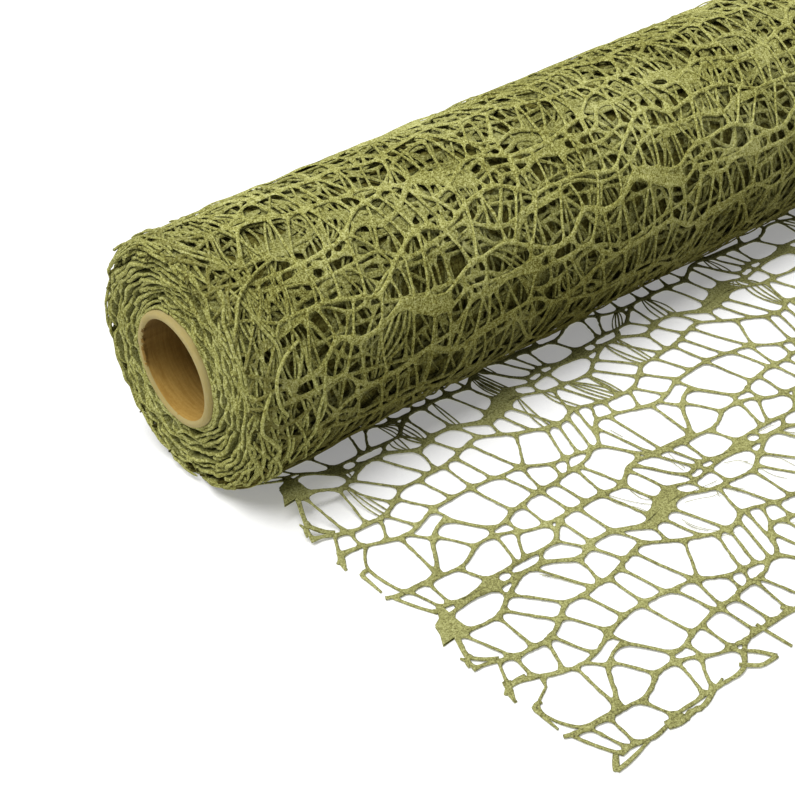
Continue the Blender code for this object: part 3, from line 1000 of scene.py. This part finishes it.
# Yarns that stand out, as (half width, places), a place being (from the near end, round the roll
# from its underside up the front, out from the net), all in millimetres.
frontYarns = (
    (0.68, ((24, 96, 0.4), (17, 93, 1.2), (11.5, 87, 1.6), (10.5, 79, 1.3),
            (13.5, 73, 0.7))),
    (0.72, ((9, 84, 0.3), (4.5, 78, 1.5), (3.2, 71, 1.9), (6.5, 66, 2.1),
            (9.5, 60.5, 1.7), (6.2, 54, 0.9))),
    (0.6, ((30, 124, 0.4), (20, 121, 1), (11, 116, 0.9), (4, 106, 0.5))),
    (0.62, ((7, 60, 0.4), (12, 50, 0.9), (15, 38, 0.7), (13, 26, 0.3))),
    (0.55, ((6, 180, -0.6), (4.4, 184, 0.6), (3, 186, 1.1), (2.4, 184.5, 1.5))),
)


class SpaceYarns(Pieces):
    # round tubes along lines in space
    def yarn(self, line, halves):
        sides = yarns["sides"]
        tangent = np.gradient(line, axis=0)
        tangent /= np.maximum(np.linalg.norm(tangent, axis=1), 1e-9)[:, None]
        outward = line - np.array([0.0, 0.0, rollSizes["axisHeight"]])
        outward[:, 0] *= 0.02
        across = np.cross(tangent, outward)
        across /= np.maximum(np.linalg.norm(across, axis=1), 1e-9)[:, None]
        lift = np.cross(across, tangent)
        points = []
        for k in range(sides):
            turn = 2 * math.pi * k / sides
            side = across * math.cos(turn) + lift * math.sin(turn)
            points.append(line + side * halves[:, None])
        self.add(np.concatenate(points), tubeFaces(sides, len(line), True))


def onRoll(x, arc, out):
    # a place on the roll: arc runs from its underside up the front
    angle = arc / rollSizes["radius"]
    r = rollSizes["radius"] + out + rollLumps(x, -angle) - sunk(x)
    return aboutAxis(x, r, -angle, 1.05)


def uneven(halves, along, seed, row):
    return halves * (1 + 0.15 * lineNoise(along / 2, seed, row))


def rimYarns(name, sign, seed):
    # yarns of the net's cut side, which run round the roll near its end
    rng = np.random.default_rng(seed)
    made = SpaceYarns()
    for i in range(yarns["count"]):
        start = rng.uniform(0, around)
        length = rng.uniform(*yarns["lengths"])
        count = max(4, int(length / 1.7))
        t = np.linspace(0, 1, count)
        depth = 0.6 + (yarns["reach"] * rng.uniform(0, 1) ** 1.5)
        lean = rng.uniform(-0.35, 0.35) * length
        x = depth + lean * t + 1.6 * lineNoise(t * length / 9, seed, i)
        x = 0.3 + np.abs(x - 0.3)
        out = 0.1 - 1.8 * rng.uniform(0, 1) + 0.8 * lineNoise(t * length / 8, seed + 1, i)
        out = np.minimum(out, 0.25 * x - 1.1)
        halves = uneven(rng.uniform(*yarns["halves"]), t * length, seed + 2, i)
        line = onRoll(x, start + length * t, out)
        line[:, 0] *= sign
        halves[[0, -1]] *= 0.6
        made.yarn(line if sign > 0 else line[::-1], halves)
    if sign > 0:
        for half, places in frontYarns:
            places = curve(places, 1.2)
            halves = half * (1 + 0.12 * softNoise(places[:, 1] / 1.7, places[:, 0] / 2, seed + 3))
            halves[-1] *= 0.6
            made.yarn(onRoll(*places.T), halves)
    return makePiece(name, *made.shape(), "net_roll", rimFibres)


# Bundles of side by side strands that show in the meshes of the outer turn.
bundles = {
    "count": 150,
    "strands": (3, 7),
    "apart": (1.9, 3.1),
    "lengths": (9.0, 27.0),
    "halves": (0.42, 0.6),
    "depths": (-2.5, -0.6),
    "lean": 0.55,          # from straight round the roll, in radians
    "within": (3.0, 497.0),
}

# Yarns that run along the back of the roll's top, where the net is seen edge on.
topYarns = {
    "count": 90,
    "starts": (4.0, 450.0),
    "lengths": (20.0, 45.0),
    "lean": 0.18,
    "arcs": (166.0, 183.0),
    "halves": (0.45, 0.62),
    "depths": (-1.7, -0.4),
}


def underYarns(seed):
    # the bundles and the yarns of the roll's top, all just under the outer turn
    rng = np.random.default_rng(seed)
    made = SpaceYarns()
    for i in range(bundles["count"]):
        middle = np.array([rng.uniform(7.0, 493.0), rng.uniform(6.0, around - 6.0)])
        lean = rng.normal(0, bundles["lean"])
        along = np.array([math.sin(lean), math.cos(lean)])
        across = np.array([along[1], -along[0]])
        length = rng.uniform(*bundles["lengths"])
        count = rng.integers(*bundles["strands"])
        apart = rng.uniform(*bundles["apart"])
        bow, fan = rng.uniform(-2.5, 2.5), rng.uniform(0.3, 1.0)
        out = rng.uniform(*bundles["depths"])
        t = np.linspace(-0.5, 0.5, max(5, int(length / 2.0)))
        for k in range(count):
            reach = (k - (count - 1) / 2) * apart
            spread = reach * (1 - fan * 2 * np.abs(t) ** 1.5) + bow * (1 - 4 * t * t)
            spread += 0.7 * lineNoise(t * length / 7, seed + 1, 9.7 * k + i)
            flat = middle + along * (t * length)[:, None] + across * spread[:, None]
            halves = uneven(rng.uniform(*bundles["halves"]), t * length, seed + 2, k + i)
            lift = out + 0.5 * lineNoise(t * length / 6, seed + 3, k * 3.1 + i)
            lift = lift - 1.2 * (2 * np.abs(t)) ** 4
            made.yarn(onRoll(np.clip(flat[:, 0], *bundles["within"]), flat[:, 1], lift), halves)
    for i in range(topYarns["count"]):
        start, length = rng.uniform(*topYarns["starts"]), rng.uniform(*topYarns["lengths"])
        arc, lean = rng.uniform(*topYarns["arcs"]), rng.normal(0, topYarns["lean"])
        out = rng.uniform(*topYarns["depths"])
        t = np.linspace(0, 1, int(length / 2.2))
        arc = arc + lean * length * t + 1.3 * lineNoise(t * length / 9, seed + 4, i)
        out = out + 0.4 * lineNoise(t * length / 7, seed + 5, i)
        halves = uneven(rng.uniform(*topYarns["halves"]), t * length, seed + 6, i)
        made.yarn(onRoll(start + length * t, arc, out), halves)
    return makePiece("underYarns", *made.shape(), "net_roll", underFinish)


rimFibres = netFinish("net_rim", 0.91, 1.35)
rimYarns("rimYarnsNear", 1, 301)
rimYarns("rimYarnsFar", -1, 401)
print("rim yarns made")
made = underYarns(501)
print("under yarns", len(made.data.polygons))


core = {
    "length": 500.0,
    "steps": 288,
    "ruffle": 0.25,
    "rise": 0.5,           # the core sits this much above the roll's middle
    "flare": 0.2,          # the burnished rim stands out from the tube by this much
    "torn": ((58.0, 112.0, 1.9), (172.0, 181.0, 1.3)),  # ragged paper, as (from, to, how far in)
    # one end of the tube from its bore outward: from the end, radius, share of flare and of tear
    "end": ((1.6, 19.0, 0.0, 0.0), (0.0, 19.05, 0.0, 0.3), (-0.5, 19.3, 0.0, 1.0),
            (-0.85, 19.7, 0.0, 0.3), (-1.0, 20.3, 0.1, 0.0), (-0.8, 21.0, 0.4, 0.0),
            (-0.2, 21.5, 0.7, 0.0), (0.6, 21.7, 1.0, 0.0), (2.6, 21.7, 0.5, 0.0)),
    "radii": (19.0, 21.7),  # of the bore and of the outside
}

# The sleeve under the open turns, dark with painted shade, with its radii at the bore, the
# shoulder and outside.
packed = {
    "from": 5.5,
    "length": 489.0,
    "radii": (22.3, 36.0, 43.1),
    "steps": 120,
    "rings": 90,
}


def packedBody():
    # a lumpy sleeve just under the open turns, dark with painted shade, closed by a ring at each
    # end
    start, length, rings = packed["from"], packed["length"], packed["rings"]
    bore, shoulder, outside = packed["radii"]
    steps = packed["steps"]
    angle = np.linspace(0, 2 * np.pi, steps, endpoint=False)
    profile = [(start, bore), (start, shoulder)]
    profile += [(start + length * i / rings, outside) for i in range(rings + 1)]
    profile += [(start + length, shoulder), (start + length, bore)]
    points = []
    for x, r in profile:
        x = np.full(steps, x)
        points.append(aboutAxis(x, r + rollLumps(x, angle) * (r == outside), angle))
    return makePiece("packedNet", np.concatenate(points), latheFaces(steps, len(profile)),
                     "net_roll", packedShadeFinish)


endFace = {
    "turns": 13.5,
    "inner": 22.5,
    "outer": 45.4,
    "steps": 110,
    "back": 9.0,           # how far in from the end the gaps between the lips reach
    "foremost": -0.9,
    # across a lip, as (share of its width, how far back, or None for the gap's floor)
    "section": ((-1.0, None), (-1.0, 0.7), (-0.45, 0.0), (0.45, 0.0), (1.0, 0.7), (1.0, None)),
}


def endSpiral(name, sign, seed):
    # the edges of the wound turns as one crinkled spiral lip
    total = int(endFace["turns"] * endFace["steps"])
    theta = np.arange(total + 1) / endFace["steps"] * 2 * np.pi
    pitch = (endFace["outer"] - endFace["inner"]) / (endFace["turns"] - 1)
    radius = endFace["inner"] + pitch * np.maximum(theta / (2 * np.pi) - 1, 0)
    cx, cy = np.cos(theta) * radius, np.sin(theta) * radius
    wobble = smoothStep(radius, 22, 26)
    calm = wobble * (1 - 0.6 * smoothStep(radius, 41.5, 45.0))
    radius = radius + calm * 0.8 * softNoise(cx / 7, cy / 7, seed)
    radius = radius + (0.1 + 0.4 * wobble) * softNoise(cx / 2.2, cy / 2.2, seed + 1)
    arc = np.concatenate([[0], np.cumsum(np.hypot(np.diff(cx), np.diff(cy)))])
    inset = 1.2 + 2.8 * smoothStep(radius, 40.5, 46.0) ** 2
    edge = inset + (0.2 + 0.9 * wobble) * lineNoise(arc / 6.3, seed + 2)
    edge = edge + (0.2 + 0.5 * wobble) * lineNoise(arc / 2.1, seed + 3)
    notch = smoothStep(lineNoise(arc / 9.0, seed + 4, 3.3), 0.1, 0.5)
    edge = np.maximum(edge + 2.8 * notch * wobble, endFace["foremost"])
    width = pitch * (0.38 + 0.11 * lineNoise(arc / 4.0, seed + 5))
    middle = rollSizes["axisHeight"] + core["rise"] * (1 - smoothStep(radius, 24, 42))
    points, faces = [], []
    for across, back in endFace["section"]:
        r = radius + across * width
        x = np.full(len(theta), endFace["back"]) if back is None else edge + back * width
        points.append(np.stack([sign * (x - halfLength), r * np.sin(theta),
                                np.maximum(middle + r * np.cos(theta), 0.05)], 1))
    n = total + 1
    i = np.arange(total)
    for k in range(len(endFace["section"]) - 1):
        faces.append(np.c_[k * n + i, k * n + i + 1, (k + 1) * n + i + 1, (k + 1) * n + i])
    # the flanks deep in the gaps take the darker finish, as painted shade
    inGapShade = np.repeat([True, False, False, False, True], total)
    return makePiece(name, np.concatenate(points), np.concatenate(faces), "net_roll", endFinish,
                     gapShadeFinish, inGapShade)


packedBody()
endSpiral("endLipsNear", 1, 91)
endSpiral("endLipsFar", -1, 191)
print("packed net and its ends made")


def makeCore():
    steps = core["steps"]
    length = core["length"]
    angle = np.linspace(0, 2 * np.pi, steps, endpoint=False)
    near = [(x, r, flare, tear, 1) for x, r, flare, tear in core["end"]]
    far = [(length - x, r, flare, tear, -1) for x, r, flare, tear in core["end"][::-1]]
    inner, outer = core["radii"]
    outside = [(length * i / 20, outer, 0, 0, 0) for i in range(1, 20)]
    bore = [(length - length * i / 20, inner, 0, 0, 0) for i in range(1, 20)]
    middle = rollSizes["axisHeight"] + core["rise"]
    profile = near + outside + far + bore
    degrees = np.degrees(angle)
    ragged = np.zeros(steps)
    for start, end, reach in core["torn"]:
        here = smoothStep(degrees, start, start + 5) * (1 - smoothStep(degrees, end - 5, end))
        teeth = 0.35 + 0.7 * lineNoise(degrees / 5.3, 61) + 0.45 * lineNoise(degrees / 2.1, 62)
        ragged += here * np.clip(teeth, 0, 1) * reach
    points = []
    for x, r, flare, tear, side in profile:
        rough = core["ruffle"] * lineNoise(angle * 7, 17, r * 2)
        rough += 0.5 * core["ruffle"] * lineNoise(angle * 22, 18, r * 3)
        place = x + np.maximum(rough, -0.02) * side * (flare > 0)
        radius = r + core["flare"] * flare * (0.75 + 0.25 * np.cos(angle)) - tear * ragged
        points.append(np.stack([place - length / 2, radius * np.sin(angle),
                                middle + radius * np.cos(angle)], 1))
    points, faces = np.concatenate(points), latheFaces(steps, len(profile))
    atRim = np.abs(points[faces, 0]).mean(1) > length / 2 - 1.9
    atRim &= np.hypot(points[faces, 1], points[faces, 2] - middle).mean(1) > inner + 0.1
    return makePiece("coreTube", points, faces, "core_tube", boreFinish, rimFinish, atRim)


makeCore()
print("core made")


def makeGround():
    mesh = bpy.data.meshes.new("ground")
    s = light["groundHalf"]
    mesh.from_pydata([(-s, -s, 0), (s, -s, 0), (s, s, 0), (-s, s, 0)], [], [(0, 1, 2, 3)])
    f = Finish("ground_white")
    mesh.materials.append(f.finish(Base_Color=(light["ground"],) * 3 + (1.0,), Roughness=0.9,
                                   Specular_IOR_Level=0.1, Emission_Color=(1.0, 1.0, 1.0, 1.0),
                                   Emission_Strength=light["glow"]))
    addObject("ground", mesh)


def makeLight():
    lamp = bpy.data.lights.new("overhead", "SUN")
    lamp.energy = light["overhead"]
    lamp.angle = math.radians(light["spread"])
    holder = addObject("overhead", lamp)
    holder.rotation_euler = Vector(light["from"]).to_track_quat("Z", "Y").to_euler()


def makeCamera():
    yaw, pitch, roll = (math.radians(camera[k]) for k in ("yaw", "pitch", "roll"))
    forward = np.array([math.sin(yaw) * math.cos(pitch), math.cos(yaw) * math.cos(pitch),
                        -math.sin(pitch)])
    right = np.array([math.cos(yaw), -math.sin(yaw), 0.0])
    down = np.cross(forward, right)
    across = math.cos(roll) * right + math.sin(roll) * down
    below = -math.sin(roll) * right + math.cos(roll) * down
    lens = bpy.data.cameras.new("photoCamera")
    lens.lens = camera["lens"]
    lens.sensor_width = 36.0
    lens.clip_start = 0.01
    holder = addObject("photoCamera", lens)
    axes = Matrix([list(across), list(-below), list(-forward)]).transposed().to_4x4()
    axes.translation = [v * mm for v in camera["place"]]
    holder.matrix_world = axes
    bpy.context.scene.camera = holder


makeGround()
makeLight()
world = bpy.data.worlds.new("studio")
world.use_nodes = True
world.node_tree.nodes["Background"].inputs[0].default_value = (1.0, 1.0, 1.0, 1.0)
world.node_tree.nodes["Background"].inputs[1].default_value = light["world"]
bpy.context.scene.world = world
bpy.context.scene.view_settings.view_transform = "Standard"
makeCamera()
print("lights and camera set")
